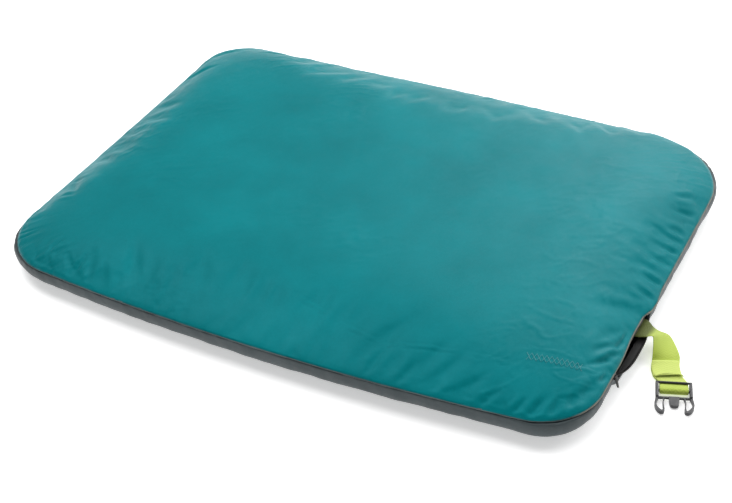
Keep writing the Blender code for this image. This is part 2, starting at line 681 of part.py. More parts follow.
def make_male_frame():
    """Two rails joined by the rear bar, the bar for the webbing and the cross bar with its guide."""
    frame = make_rail("buckle_male_frame", -RAIL_U)
    across = in_buckle(1, 0, 0) - in_buckle(0, 0, 0)
    guide = [(-GUIDE_ROOT_HALF, GUIDE_ROOT_V), (GUIDE_ROOT_HALF, GUIDE_ROOT_V),
             (GUIDE_NECK_HALF, GUIDE_NECK_V)]
    for step in range(7):
        angle = math.pi * step / 6
        guide.append((GUIDE_TIP_HALF * math.cos(angle), GUIDE_TIP_V + GUIDE_TIP_LONG * math.sin(angle)))
    guide.append((-GUIDE_NECK_HALF, GUIDE_NECK_V))
    for extra in (
            make_rail("rail", RAIL_U),
            rod("rear_bar", in_buckle(0, REAR_V, REAR_BAR_Z), across, 2 * RAIL_U, REAR_BAR_RADIUS,
                "black_plastic"),
            rod("web_bar", in_buckle(0, 0, BUCKLE_AT.z), across, 2 * RAIL_U, BAR_RADIUS, "black_plastic"),
            buckle_plate("cross_bar", rectangle(-RAIL_U, CROSS_BACK, RAIL_U, CROSS_FRONT), CROSS_BAR),
            buckle_plate("guide", guide, GUIDE)):
        boolean(frame, extra, "UNION")
    set_origin(frame, BUCKLE_AT)


def make_prongs():
    """Sprung hairpin prongs, one on each side of the guide."""
    centre_line = smooth_path([Vector(point) for point in PRONG_POINTS], 3)
    widths = [width.x for width in smooth_path([Vector((width, 0)) for width in PRONG_WIDTHS], 3)]
    pivot_u, pivot_v = PRONG_PIVOT
    for name, side in (("buckle_prong_left", -1), ("buckle_prong_right", 1)):
        outline = [(side * u, v) for u, v in thick_line(centre_line, widths)]
        prong = buckle_plate(name, outline, PRONG, smooth=True)
        set_origin(prong, in_buckle(side * pivot_u, pivot_v, PRONG_PIVOT_Z))


clear_scene()
make_bottom_panel()
make_core()
make_wadding()
make_top_panel()
make_piping()
make_pocket()
make_zip()
make_pull(make_slider())
make_inner_strap()
make_outer_strap()
make_male_frame()
make_prongs()
make_female_half()
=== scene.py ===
"""Looks of the camp pillow: puckered shells, zip, webbing, buckle, materials, light and camera.

Metres, +Z up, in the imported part's frame.  +X runs to the zipped end, the camera is at -Y.
"""
import json
import math
from contextlib import contextmanager

import bmesh
import bpy
import numpy as np
from mathutils import Matrix, Vector, noise
from mathutils.bvhtree import BVHTree


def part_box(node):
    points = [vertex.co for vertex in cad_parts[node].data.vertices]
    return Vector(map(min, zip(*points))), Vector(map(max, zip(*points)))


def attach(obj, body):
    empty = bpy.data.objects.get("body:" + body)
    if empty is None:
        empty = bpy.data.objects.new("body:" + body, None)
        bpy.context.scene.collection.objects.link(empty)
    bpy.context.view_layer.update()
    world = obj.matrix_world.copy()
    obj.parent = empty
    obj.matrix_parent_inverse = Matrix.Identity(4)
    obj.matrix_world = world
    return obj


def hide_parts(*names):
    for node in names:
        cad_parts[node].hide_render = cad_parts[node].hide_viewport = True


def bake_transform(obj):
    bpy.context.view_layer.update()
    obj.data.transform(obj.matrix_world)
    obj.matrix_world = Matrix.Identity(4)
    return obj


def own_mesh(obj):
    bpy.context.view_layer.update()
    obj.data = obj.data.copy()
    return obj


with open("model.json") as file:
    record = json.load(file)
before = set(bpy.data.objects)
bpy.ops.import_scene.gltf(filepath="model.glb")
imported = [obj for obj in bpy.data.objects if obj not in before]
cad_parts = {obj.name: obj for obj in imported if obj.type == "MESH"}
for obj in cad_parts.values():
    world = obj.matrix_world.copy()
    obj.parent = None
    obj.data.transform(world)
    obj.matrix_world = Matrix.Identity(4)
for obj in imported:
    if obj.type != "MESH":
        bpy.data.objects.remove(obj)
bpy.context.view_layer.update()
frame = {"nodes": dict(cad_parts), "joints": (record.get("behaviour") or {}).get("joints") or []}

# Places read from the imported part.
piping_low, piping_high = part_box("seam_piping")
panel_low, panel_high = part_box("top_panel")
SEAM_Z = (piping_low.z + piping_high.z) / 2
TOP_RIM_Z = panel_low.z
CROWN = panel_high.z - panel_low.z
BASE_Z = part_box("bottom_panel")[0].z
JOINTS = {joint["name"]: joint for joint in frame["joints"]}

# Plan outline of the pillow at the seam, as the part has it.
HALF_X, HALF_Y = 0.3175, 0.22625
CORNER_RADII = {(1, -1): 0.050, (1, 1): 0.090, (-1, 1): 0.048, (-1, -1): 0.065}
BOW_RIGHT, BOW_BACK, BOW_LEFT, BOW_FRONT = 0.0022, 0.005, -0.001, 0.019
CROWN_REACH, CROWN_POWER, CORNER_SPREAD = 0.16, 4, 0.6
SIDE_INSET = 0.027

# Zip mouth.
MOUTH_FRONT, MOUTH_BACK = -0.1415, -0.0505
TAPE_FRONT, TAPE_BACK = -0.1530, -0.0460
NOTCH_Z = 0.0163
LIP_OUT, LIP_DROP, LIP_IN = 0.0088, 0.0048, 0.0070
COIL_INSET, LOWER_COIL_Z, UPPER_COIL_Z = 0.0030, 0.0220, 0.0257
TAPE_THICK = 0.0006
TOOTH_PITCH, TOOTH_HALF_SIZES = 0.0013, (0.0012, 0.00042, 0.0010)

# The seam kinks out just behind the mouth and is drawn in along it.
SEAM_KINK, KINK_AT, KINK_WIDE = 0.0022, -0.040, 0.014
SEAM_PULL = 0.0030
PULL_STEPS = ((-0.132, -0.088), (-0.062, -0.053))     # where the pull grows and where it ends

# Webbing.
WEB_WIDTH, WEB_THICK = 0.0254, 0.0014

# Camera, solved for the 732 x 503 frame.
CAMERA_AZIMUTH, CAMERA_ELEVATION, CAMERA_ROLL = 30.2, 37.75, -4.28
CAMERA_DISTANCE, CAMERA_LENS = 1.4275, 70.73
CAMERA_TARGET = Vector((0.0352, -0.0768, SEAM_Z))


# Plan and profile of the pillow.

def bowed(x, y):
    """Push plan points outwards by the bow of the side they lie towards."""
    along_x, along_y = x / HALF_X, y / HALF_Y
    side = np.where(x > 0, BOW_RIGHT, -BOW_LEFT)
    end = np.where(y > 0, BOW_BACK, -BOW_FRONT)
    new_x = x + side * along_x ** 4 * np.clip(1 - along_y ** 2, 0, None)
    new_y = y + end * along_y ** 4 * np.clip(1 - along_x ** 2, 0, None)
    return new_x, new_y


def corner_radius(x, y):
    """Corner radius that belongs to each point's quarter of the plan."""
    front = np.where(x > 0, CORNER_RADII[1, -1], CORNER_RADII[-1, -1])
    back = np.where(x > 0, CORNER_RADII[1, 1], CORNER_RADII[-1, 1])
    return np.where(y > 0, back, front)


def plan_point(u, v):
    """Map square coordinates from -1 to 1 onto the rounded plan, before its bows."""
    u, v = np.asarray(u, float), np.asarray(v, float)
    ring = np.maximum(np.abs(u), np.abs(v))
    safe = np.maximum(ring, 1e-9)
    radius = corner_radius(u, v) * ring
    on_end = np.abs(u) >= np.abs(v)
    across = np.where(on_end, HALF_X, HALF_Y) * ring
    along = np.where(on_end, HALF_Y, HALF_X) * ring
    share = np.where(on_end, np.abs(v), np.abs(u)) / safe
    straight = along - radius
    travel = share * (straight + radius * math.pi / 4)
    turn = np.clip((travel - straight) / np.maximum(radius, 1e-9), 0, math.pi / 4)
    round_off = travel > straight
    far = np.where(round_off, straight + radius * np.sin(turn), travel)
    near = np.where(round_off, across - radius + radius * np.cos(turn), across)
    x = np.where(on_end, near, far) * np.sign(u)
    y = np.where(on_end, far, near) * np.sign(v)
    return x, y


def depth_inside(x, y):
    """Distance in from the seam, with contours that round off towards the crown."""
    x, y = np.asarray(x, float), np.asarray(y, float)
    low, high = np.zeros_like(x), np.full_like(x, 0.215)
    base = corner_radius(x, y)
    for _ in range(22):
        middle = (low + high) / 2
        half_x, half_y = HALF_X - middle, HALF_Y - middle
        radius = np.minimum(base + CORNER_SPREAD * middle, 0.95 * half_y)
        over_x, over_y = np.abs(x) - half_x + radius, np.abs(y) - half_y + radius
        outside = np.hypot(np.clip(over_x, 0, None), np.clip(over_y, 0, None))
        outside += np.minimum(np.maximum(over_x, over_y), 0) - radius
        low = np.where(outside < 0, middle, low)
        high = np.where(outside < 0, high, middle)
    return (low + high) / 2


def crown_height(depth):
    """Height of the top over its rim at a distance in from the seam."""
    left = np.clip(1 - depth / CROWN_REACH, 0, 1)
    return CROWN * (1 - left ** CROWN_POWER)


def mouth_share(y):
    """How open the mouth is at y: 0 at its ends and 1 in the middle."""
    share = (np.asarray(y, float) - MOUTH_FRONT) / (MOUTH_BACK - MOUTH_FRONT)
    return np.clip(1 - np.abs(2 * share - 1) ** 3, 0, 1)


def smoothstep(low, high, value):
    """Ease from 0 at low to 1 at high."""
    t = np.clip((value - low) / (high - low), 0, 1)
    return t * t * (3 - 2 * t)


def seam_x(y):
    """Seam line of the zipped end at rest, before the mouth draws it in."""
    return HALF_X + BOW_RIGHT * (1 - (np.asarray(y, float) / HALF_Y) ** 2)


def seam_shift(x, y):
    """How far the sewn edge moves outwards at the zipped end."""
    (grow_from, grow_to), (fall_from, fall_to) = PULL_STEPS
    pull = smoothstep(grow_from, grow_to, y) * (1 - smoothstep(fall_from, fall_to, y))
    kink = np.exp(-((y - KINK_AT) / KINK_WIDE) ** 2)
    return (SEAM_KINK * kink - SEAM_PULL * pull) * smoothstep(0.24, 0.31, x)


def seam_wave(x, y):
    """Height by which the sewn edge rises and falls, most along the back."""
    swing = 0.0003 + 0.0006 * smoothstep(0.12, 0.20, y)
    return swing * ripple(x, y, 0 * x, 0.017, 81)


def seam_loop(count):
    """Points once round the seam, counter-clockwise from the middle of the zipped end."""
    corners = np.array([0.0, 1.0, 3.0, 5.0, 7.0, 8.0])
    shares = np.linspace(0, 8, 4 * count, endpoint=False)
    u = np.interp(shares, corners, [1, 1, -1, -1, 1, 1])
    v = np.interp(shares, corners, [0, 1, 1, -1, -1, 0])
    x, y = bowed(*plan_point(u, v))
    gaps = np.hypot(np.diff(x, append=x[0]), np.diff(y, append=y[0]))
    length = np.concatenate([[0], np.cumsum(gaps)])
    even = np.linspace(0, length[-1], count, endpoint=False)
    x = np.interp(even, length, np.append(x, x[0]))
    y = np.interp(even, length, np.append(y, y[0]))
    return np.stack([x, y], 1), even, length[-1]


def outward(loop):
    """Outward plan normals of a counter-clockwise closed loop."""
    along = np.roll(loop, -1, 0) - np.roll(loop, 1, 0)
    along /= np.linalg.norm(along, axis=1)[:, None]
    return np.stack([along[:, 1], -along[:, 0]], 1)


def ripple(x, y, z, scale, seed):
    """Smooth noise from -1 to 1 at every point of three arrays."""
    shift = Vector((seed * 7.31, seed * 3.17, seed * 5.73))
    points = zip(np.ravel(x), np.ravel(y), np.ravel(z))
    values = [noise.noise(Vector(point) / scale + shift) for point in points]
    return np.array(values).reshape(np.shape(x))


# Objects.

def new_object(name, mesh):
    made = bpy.data.objects.new(name, mesh)
    bpy.context.scene.collection.objects.link(made)
    return made


def grid_object(name, points, wrap_rows=False, wrap_columns=False, smooth=True):
    """Quad mesh over a rows x columns x 3 array of points."""
    rows, columns = points.shape[:2]
    faces = []
    for row in range(rows if wrap_rows else rows - 1):
        below = (row + 1) % rows
        for column in range(columns if wrap_columns else columns - 1):
            after = (column + 1) % columns
            faces.append((row * columns + column, row * columns + after,
                          below * columns + after, below * columns + column))
    mesh = bpy.data.meshes.new(name)
    mesh.from_pydata(points.reshape(-1, 3).tolist(), [], faces)
    if smooth:
        mesh.shade_smooth()
    return new_object(name, mesh)


def coords(target):
    """Array of a mesh's points."""
    data = np.zeros(len(target.data.vertices) * 3)
    target.data.vertices.foreach_get("co", data)
    return data.reshape(-1, 3)


def apply_modifiers(target):
    """Replace a mesh by what its modifiers make of it."""
    graph = bpy.context.evaluated_depsgraph_get()
    result = bpy.data.meshes.new_from_object(target.evaluated_get(graph))
    target.modifiers.clear()
    target.data = result


@contextmanager
def edited(target):
    """A bmesh of an object's mesh, written back smooth and with its faces turned one way."""
    bm = bmesh.new()
    bm.from_mesh(target.data)
    bm.verts.ensure_lookup_table()
    yield bm
    bmesh.ops.recalc_face_normals(bm, faces=bm.faces)
    bm.to_mesh(target.data)
    bm.free()
    target.data.shade_smooth()


def smooth_path(points, steps):
    """Catmull-Rom curve through given points."""
    points = [Vector(point) for point in points]
    padded = [2 * points[0] - points[1], *points, 2 * points[-1] - points[-2]]
    path = []
    for before, start, end, after in zip(padded, padded[1:], padded[2:], padded[3:]):
        for step in range(steps):
            t = step / steps
            path.append(0.5 * (2 * start + (end - before) * t
                               + (2 * before - 5 * start + 4 * end - after) * t * t
                               + (3 * start - before - 3 * end + after) * t ** 3))
    path.append(points[-1])
    return path


# Pillow.

BASE_RIM_Z = SEAM_Z - 0.0014
PIPING_TUCK, PIPING_SHOWN = 0.0008, 0.0003     # how far inside the shells' edge the cord lies
PIPING_RADIUS = 0.00095

TOP_COLUMNS, TOP_ROWS = 140, 104
TOP_TUCK = 0.0006        # the top's edge starts this far above the seam line
EDGE_CROWDING = 0.42     # the grid is this much finer at the seam than on average

# Filling inside the shells.
FILLING_SHARE = 0.945    # of the plan
WADDING_DROP, WADDING_THICK = 0.0048, 0.0055
CORE_END_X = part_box("stuffing_core")[1].x
FLOOR_GAP = 0.0030

# Relaxing the top as cloth: frames, and how far a point may move in all and downwards.
CLOTH_FRAMES, CLOTH_REACH, CLOTH_SINK = 24, 0.0024, 0.0010

# Stretches of the seam that are gathered more or less than the rest: centre, reach, change.
GATHERED = ((-0.285, -0.190, 0.050, 0.55), (0.316, -0.110, 0.060, -0.35),
            (0.300, -0.215, 0.050, -0.45), (0.285, 0.205, 0.080, -0.55),
            (0.318, 0.000, 0.050, 0.20))
# Long drag lines in the cloth: start, heading in degrees, length, half width, depth.
DRAG_LINES = (
    (0.3140, -0.0950, -97, 0.032, 0.0024, 0.0016), (0.3170, -0.1180, -112, 0.028, 0.0026, 0.0017),
    (0.3110, -0.1080, -105, 0.034, 0.0032, 0.0014), (0.3060, -0.1200, -110, 0.024, 0.0028, 0.0013),
    (0.2990, -0.1170, -94, 0.030, 0.0040, 0.0012), (0.3160, -0.1560, -114, 0.016, 0.0022, 0.0013),
    (0.3075, -0.1700, -92, 0.026, 0.0034, 0.0012), (0.3010, -0.1930, -102, 0.020, 0.0030, 0.0011),
    (0.3120, -0.1380, -125, 0.020, 0.0024, 0.0012), (0.2560, -0.2330, 66, 0.022, 0.0026, 0.0011),
    (0.2700, -0.2330, 70, 0.032, 0.0034, 0.0014), (0.2300, -0.2330, 62, 0.020, 0.0030, 0.0010),
    (0.2880, -0.2230, 74, 0.024, 0.0030, 0.0010), (0.1200, -0.2400, 78, 0.034, 0.0034, 0.0010),
    (0.1500, -0.2380, 72, 0.028, 0.0030, 0.0009), (-0.2440, -0.2180, 50, 0.024, 0.0026, 0.0012),
    (-0.2520, -0.2120, 62, 0.018, 0.0022, 0.0010), (-0.2100, -0.2270, 80, 0.024, 0.0026, 0.0010),
    (-0.2960, -0.1350, 6, 0.020, 0.0030, 0.0010), (-0.3050, -0.1000, -4, 0.018, 0.0026, 0.0009),
    (0.3170, 0.0360, 196, 0.024, 0.0036, 0.0016), (0.3180, 0.0130, 190, 0.026, 0.0040, 0.0018),
    (0.3180, -0.0160, 184, 0.026, 0.0040, 0.0018), (0.3190, -0.0400, 178, 0.024, 0.0036, 0.0017),
    (0.3080, 0.1200, 214, 0.026, 0.0034, 0.0014), (0.3130, 0.0980, 206, 0.024, 0.0032, 0.0014),
    (0.3160, 0.0640, 198, 0.022, 0.0034, 0.0014), (-0.1200, 0.2290, -84, 0.022, 0.0030, 0.0010),
    (0.0400, 0.2300, -96, 0.024, 0.0030, 0.0010), (0.1500, 0.2300, -80, 0.022, 0.0030, 0.0010),
)
# A pressed fold line that runs beside the front edge.
FOLD_LINE = ((0.020, -0.186), (0.077, -0.199), (0.104, -0.205), (0.124, -0.207), (0.142, -0.203),
             (0.170, -0.197), (0.199, -0.194), (0.232, -0.191), (0.262, -0.185), (0.294, -0.166),
             (0.311, -0.158))
FOLD_HALF, FOLD_DEPTH = 0.0011, 0.00075


def seam_travel(u, v):
    """Distance round the seam that each square coordinate faces, from the zipped end's middle."""
    ring = np.maximum(np.maximum(np.abs(u), np.abs(v)), 1e-9)
    a, b = u / ring, v / ring
    half_end, half_long = HALF_Y, HALF_X
    right, left = b * half_end, half_end * 2 + half_long * 2 - b * half_end
    back, front = half_end + (1 - a) * half_long, half_end * 3 + half_long * 2 + (1 + a) * half_long
    on_end = np.abs(u) >= np.abs(v)
    return np.where(on_end, np.where(u > 0, right, left), np.where(v > 0, back, front))


def round_noise(travel, depth, scale, seed):
    """Noise round the seam that closes on itself, changing with depth."""
    total = 4 * (HALF_X + HALF_Y)
    radius = total / math.tau
    angle = travel / radius
    return ripple(radius * np.cos(angle), radius * np.sin(angle), depth, scale, seed)


def gathers(travel, depth, x, y):
    """Puckers that the seam's stitches draw into the cloth, deepest just inside the seam."""
    fine = round_noise(travel, depth * 0.20, 0.0062, 21)
    broad = round_noise(travel, depth * 0.30, 0.0125, 22)
    reach = 0.0095 + 0.0060 * round_noise(travel, 0 * depth, 0.020, 23)
    fine_height = 0.55 * fine - 0.85 * np.exp(-(fine / 0.12) ** 2)
    broad_height = 0.8 * broad - 1.0 * np.exp(-(broad / 0.14) ** 2)
    start = 1 - np.exp(-depth / 0.0028)
    patch = 0.35 + 0.65 * smoothstep(-0.25, 0.35, round_noise(travel, 0 * depth, 0.06, 24))
    for near_x, near_y, wide, more in GATHERED:
        patch += more * np.exp(-((x - near_x) ** 2 + (y - near_y) ** 2) / wide ** 2)
    fine_part = 0.00070 * fine_height * np.exp(-depth / reach)
    broad_part = 0.00125 * broad_height * np.exp(-depth / (1.35 * reach))
    return (fine_part + broad_part) * start * np.clip(patch, 0.1, None)


def line_distance(x, y, start, end):
    """Distance from a segment and the share of the way along it."""
    along_x, along_y = end[0] - start[0], end[1] - start[1]
    length = math.hypot(along_x, along_y)
    share = ((x - start[0]) * along_x + (y - start[1]) * along_y) / length ** 2
    clipped = np.clip(share, 0, 1)
    off = np.hypot(x - start[0] - clipped * along_x, y - start[1] - clipped * along_y)
    return off, share


def drags(x, y):
    """Grooves with a soft ridge on each side, fading out at both ends."""
    height = np.zeros_like(x)
    for start_x, start_y, heading, length, half, depth in DRAG_LINES:
        angle = math.radians(heading)
        bend = 0.0010 * np.sin((x + 2 * y) * 60)
        end = (start_x + length * math.cos(angle), start_y + length * math.sin(angle))
        side_x, side_y = -math.sin(angle) * bend, math.cos(angle) * bend
        off, share = line_distance(x + side_x, y + side_y, (start_x, start_y), end)
        fade = smoothstep(-0.15, 0.25, share) * (1 - smoothstep(0.45, 1.1, share))
        groove = -np.exp(-(off / half) ** 2) + 0.55 * np.exp(-((off - 1.9 * half) / half) ** 2)
        height += depth * groove * fade
    return height


def fold_line(x, y):
    """Faint crease left by folding, broken up along its length."""
    nearest = np.full_like(x, 1.0)
    wander = 0.0022 * ripple(x, 0 * y, 0 * x, 0.016, 32)
    for start, end in zip(FOLD_LINE, FOLD_LINE[1:]):
        off, _ = line_distance(x, y + wander, start, end)
        nearest = np.minimum(nearest, off)
    broken = 0.35 + 1.1 * ripple(x, y, 0 * x, 0.012, 31)
    beside = np.exp(-((nearest - 2 * FOLD_HALF) / FOLD_HALF) ** 2)
    ridge = np.exp(-(nearest / FOLD_HALF) ** 2) - 0.8 * beside
    return FOLD_DEPTH * ridge * np.clip(broken, 0, 1)


def crinkles(x, y):
    """Shallow creases all over the cloth."""
    turned_x, turned_y = 0.8 * x + 0.6 * y, -0.6 * x + 0.8 * y
    long = ripple(turned_x, turned_y * 2.6, 0 * x, 0.034, 41)
    cross = ripple(x * 2.2, y, 0 * x, 0.024, 42)
    patch = smoothstep(-0.1, 0.5, ripple(x, y, 0 * x, 0.09, 43))
    return 0.00038 * (np.exp(-(long / 0.06) ** 2) + 0.7 * np.exp(-(cross / 0.05) ** 2)) * patch


def doubled(grid):
    """Twice as fine a grid, through the same points, by four-point interpolation."""
    for _ in range(2):
        before = np.concatenate([2 * grid[:1] - grid[1:2], grid[:-2]])
        after = np.concatenate([grid[2:], 2 * grid[-1:] - grid[-2:-1]])
        middle = (9 * (grid[:-1] + grid[1:]) - before - after) / 16
        woven_rows = np.empty((2 * len(grid) - 1,) + grid.shape[1:])
        woven_rows[::2], woven_rows[1::2] = grid, middle
        grid = np.swapaxes(woven_rows, 0, 1)
    return grid


def grid_normals(points):
    """Unit normals of a grid of points."""
    normals = np.cross(np.gradient(points, axis=1), np.gradient(points, axis=0))
    return normals / np.linalg.norm(normals, axis=2)[..., None]


def top_surface():
    """Square coordinates and points of the top's outer face, after the cloth has relaxed."""
    def spacing(count):
        even = np.linspace(-1, 1, count + 1)
        return even + EDGE_CROWDING * np.sin(math.pi * even) / math.pi

    u, v = np.meshgrid(spacing(TOP_COLUMNS), spacing(TOP_ROWS))
    flat_x, flat_y = plan_point(u, v)
    depth = depth_inside(flat_x, flat_y)
    x, y = bowed(flat_x, flat_y)
    wave = seam_wave(x, y) * np.exp(-depth / 0.012)
    x = x + seam_shift(x, y) * np.exp(-depth / 0.020)
    rim = 1 - np.exp(-depth / 0.0014)
    z = SEAM_Z + TOP_TUCK + (TOP_RIM_Z - SEAM_Z - TOP_TUCK) * rim + crown_height(depth) + wave
    points = np.stack([x, y, z], 2)
    sheet = grid_object("relaxing_sheet", points)
    edge = np.ravel(np.maximum(np.abs(u), np.abs(v))) > 0.9999
    relax_cloth(sheet, edge, CLOTH_FRAMES)
    moved = coords(sheet) - points.reshape(-1, 3)
    bpy.data.objects.remove(sheet, do_unlink=True)
    reach = np.linalg.norm(moved, axis=1)
    limit = np.minimum(CLOTH_REACH, 0.0003 + 0.05 * np.ravel(depth))
    moved *= (np.tanh(reach / limit) * limit / np.maximum(reach, 1e-9))[:, None]
    moved[:, 2] = np.maximum(moved[:, 2], -CLOTH_SINK)
    points = points + moved.reshape(points.shape)
    return doubled(u), doubled(v), doubled(points)


def make_top():
    """Top panel: relaxed as cloth with its sewn edge held, then gathered along the seam."""
    u, v, points = top_surface()
    flat_x, flat_y = plan_point(u, v)
    depth = depth_inside(flat_x, flat_y)
    x, y = points[..., 0], points[..., 1]
    height = gathers(seam_travel(u, v), depth, x, y) + fold_line(x, y)
    height += (drags(x, y) + crinkles(x, y)) * smoothstep(0.0005, 0.004, depth)
    points = points + grid_normals(points) * height[..., None]
    top = grid_object("pillow_top", points)
    turn_hem(top)
    return top


def turn_hem(target):
    """Turn the sheet's border inwards under itself, as its seam allowance."""
    with edited(target) as bm:
        for inset, height in ((0.0018, SEAM_Z + 0.0002), (0.0060, SEAM_Z + 0.0006)):
            border = [edge for edge in bm.edges if edge.is_boundary]
            made = bmesh.ops.extrude_edge_only(bm, edges=border)["geom"]
            for vert in (item for item in made if isinstance(item, bmesh.types.BMVert)):
                middle = Vector((0.8 * vert.co.x, 0.6 * vert.co.y, 0))
                inwards = (middle - Vector((vert.co.x, vert.co.y, 0))).normalized()
                vert.co = Vector((*(vert.co + inwards * inset).xy, height))


def slab(name, upper, lower):
    """Closed body between two grids of points that share their plan."""
    rows, columns = upper.shape[:2]
    made = grid_object(name, upper)
    with edited(made) as bm:
        border = [[vert.index for vert in edge.verts] for edge in bm.edges if edge.is_boundary]
        above = list(bm.verts)
        below = [bm.verts.new(point) for point in lower.reshape(-1, 3)]
        for row in range(rows - 1):
            for column in range(columns - 1):
                first = row * columns + column
                corners = (first, first + columns, first + columns + 1, first + 1)
                bm.faces.new([below[index] for index in corners])
        for a, b in border:
            bm.faces.new((above[b], above[a], below[a], below[b]))
    return made


def make_filling():
    """Quilted wadding under the top cloth, and the loose filling between it and the base."""
    share_u, share_v = np.meshgrid(np.linspace(-1, 1, 97), np.linspace(-1, 1, 73))
    flat_x, flat_y = plan_point(share_u * FILLING_SHARE, share_v * FILLING_SHARE)
    depth = depth_inside(flat_x, flat_y)
    x, y = bowed(flat_x, flat_y)
    lumps = 0.0005 * ripple(x, y, 0 * x, 0.02, 71)
    top_z = TOP_RIM_Z + crown_height(depth) - WADDING_DROP + lumps
    taper = smoothstep(0.012, 0.040, depth)
    under_z = top_z - 0.0006 - WADDING_THICK * taper
    wadding = slab("wadding_quilt", np.stack([x, y, top_z], 2), np.stack([x, y, under_z], 2))
    core_x = np.minimum(x, CORE_END_X)
    wall = np.clip(1 - depth / SIDE_INSET, 0, 1)
    floor_z = FLOOR_GAP + (SEAM_Z - 0.004) * (1 - np.sqrt(1 - wall ** 2))
    core_top = np.maximum(under_z - 0.0008, floor_z + 0.001)
    core = slab("fibre_core", np.stack([core_x, y, core_top], 2), np.stack([core_x, y, floor_z], 2))
    return wadding, core


def relax_cloth(target, held, frames):
    """Run Blender's cloth on a sheet with its held vertices pinned, then bake the result."""
    group = target.vertex_groups.new(name="held")
    group.add([int(index) for index in np.flatnonzero(held)], 1.0, "REPLACE")
    cloth = target.modifiers.new("cloth", "CLOTH")
    settings = cloth.settings
    settings.quality = 5
    settings.mass = 0.15
    settings.tension_stiffness = settings.compression_stiffness = 12
    settings.shear_stiffness = 4
    settings.bending_stiffness = 0.12
    settings.tension_damping = settings.compression_damping = 8
    settings.air_damping = 2
    settings.vertex_group_mass = "held"
    settings.shrink_min = -0.016
    settings.use_pressure = True
    settings.uniform_pressure_force = 2.2
    settings.effector_weights.gravity = 0
    cloth.collision_settings.use_collision = False
    scene = bpy.context.scene
    cloth.point_cache.frame_start, cloth.point_cache.frame_end = 1, frames
    for step in range(1, frames + 1):
        scene.frame_set(step)
    apply_modifiers(target)
    target.vertex_groups.clear()
    scene.frame_set(1)


# The side wall stands out past the seam near three corners: place, reach, bulge.
CORNER_BULGES = ((0.290, -0.215, 0.035, 0.0045), (-0.305, -0.200, 0.040, 0.0050),
                 (0.300, 0.195, 0.050, 0.0055))


def make_base():
    """Lower shell: a turned rim at the seam, a gathered side wall and a flat resting face."""
    loop, length, _ = seam_loop(720)
    normal = outward(loop)
    x, y = loop[:, 0], loop[:, 1]
    loop = loop + np.column_stack([seam_shift(x, y) * 0.35, 0 * y])
    opened = mouth_share(y) * (x > 0.25)
    bulge = sum(more * np.exp(-((x - at_x) ** 2 + (y - at_y) ** 2) / wide ** 2)
                for at_x, at_y, wide, more in CORNER_BULGES)
    wave = seam_wave(x, y)
    profile = [(0.0030, BASE_RIM_Z - 0.0004), (0.0012, BASE_RIM_Z), (0.0002, BASE_RIM_Z - 0.0002)]
    for step in range(1, 31):
        angle = math.pi / 2 * step / 30
        profile.append((SIDE_INSET * (1 - math.cos(angle)), BASE_RIM_Z * (1 - math.sin(angle))))
    flat = 0 * y
    pleat = round_noise(length, flat, 0.0080, 51)
    pleat = 0.5 * pleat - 0.9 * np.exp(-(pleat / 0.12) ** 2)
    swell = round_noise(length, flat, 0.030, 52)
    rows = []
    for inset, height in profile:
        level = height / BASE_RIM_Z
        near_rim = math.exp(-((1 - level) / 0.30) ** 2)
        lower_noise = round_noise(length, flat + height, 0.012, 53)
        push = (-inset + 0.0009 * pleat * near_rim + 0.0010 * swell * math.sin(math.pi * level)
                + 0.0007 * lower_noise * math.sin(math.pi * level)
                + 0.0012 * math.sin(math.pi * level) + bulge * math.sin(math.pi * level * 0.75)
                + 0.0022 * opened * level)
        points = loop + normal * np.broadcast_to(push, x.shape)[:, None]
        ripple_z = (0.00025 * round_noise(length, flat, 0.010, 54) + wave) * level
        drop = (BASE_RIM_Z - NOTCH_Z) * smoothstep(0, 0.35, opened) * level
        rows.append(np.column_stack([points, height + ripple_z - drop]))
    base = grid_object("pillow_base", np.array(rows), wrap_columns=True)
    with edited(base) as bm:
        start = (len(rows) - 1) * len(loop)
        bm.faces.new([bm.verts[start + index] for index in range(len(loop))])
    return base


def tube(name, centres, radius, sides=10, closed=False):
    """Round cord along a list of centres; radius is one value or one for each centre."""
    centres = np.asarray(centres, float)
    count = len(centres)
    radii = np.broadcast_to(radius, count)
    rings = []
    for index in range(count):
        if closed:
            along = centres[(index + 1) % count] - centres[index - 1]
        else:
            along = centres[min(index + 1, count - 1)] - centres[max(index - 1, 0)]
        along = Vector(along).normalized()
        side = along.cross(Vector((0, 0, 1))).normalized()
        lift = side.cross(along)
        ring = []
        for step in range(sides):
            angle = math.tau * step / sides
            offset = (side * math.cos(angle) + lift * math.sin(angle)) * radii[index]
            ring.append(Vector(centres[index]) + offset)
        rings.append(ring)
    points = np.array(rings)
    return grid_object(name, points, wrap_rows=closed, wrap_columns=True)


def make_piping():
    """Thin corded piping, tucked into the groove between the two shells."""
    loop, length, _ = seam_loop(900)
    x, y = loop[:, 0], loop[:, 1]
    shift, wave = seam_shift(x, y), seam_wave(x, y)
    shown = np.maximum(smoothstep(0.300, 0.314, x), smoothstep(0.17, 0.21, y))
    tuck = PIPING_TUCK + (PIPING_SHOWN - PIPING_TUCK) * shown
    loop = loop + np.column_stack([shift, 0 * shift]) - outward(loop) * tuck[:, None]
    lumps = round_noise(length, 0 * length, 0.006, 61)
    lift = 0.00035 * round_noise(length, 0 * length, 0.020, 62)
    wander = 0.00030 * round_noise(length, 0 * length, 0.012, 63)
    loop = loop + outward(loop) * wander[:, None]
    centres = np.column_stack([loop, SEAM_Z - 0.0002 + lift * (1 - 0.7 * shown) + wave])
    return tube("seam_cord", centres, PIPING_RADIUS + 0.00012 * lumps, closed=True)


# A generic stitched chain of diamonds near the front corner.
MOTIF_FROM, MOTIF_TO = (0.2480, -0.1770), (0.2950, -0.1640)
MOTIF_CROSSINGS, MOTIF_HALF = 11, 0.0040
THREAD = 0.00032


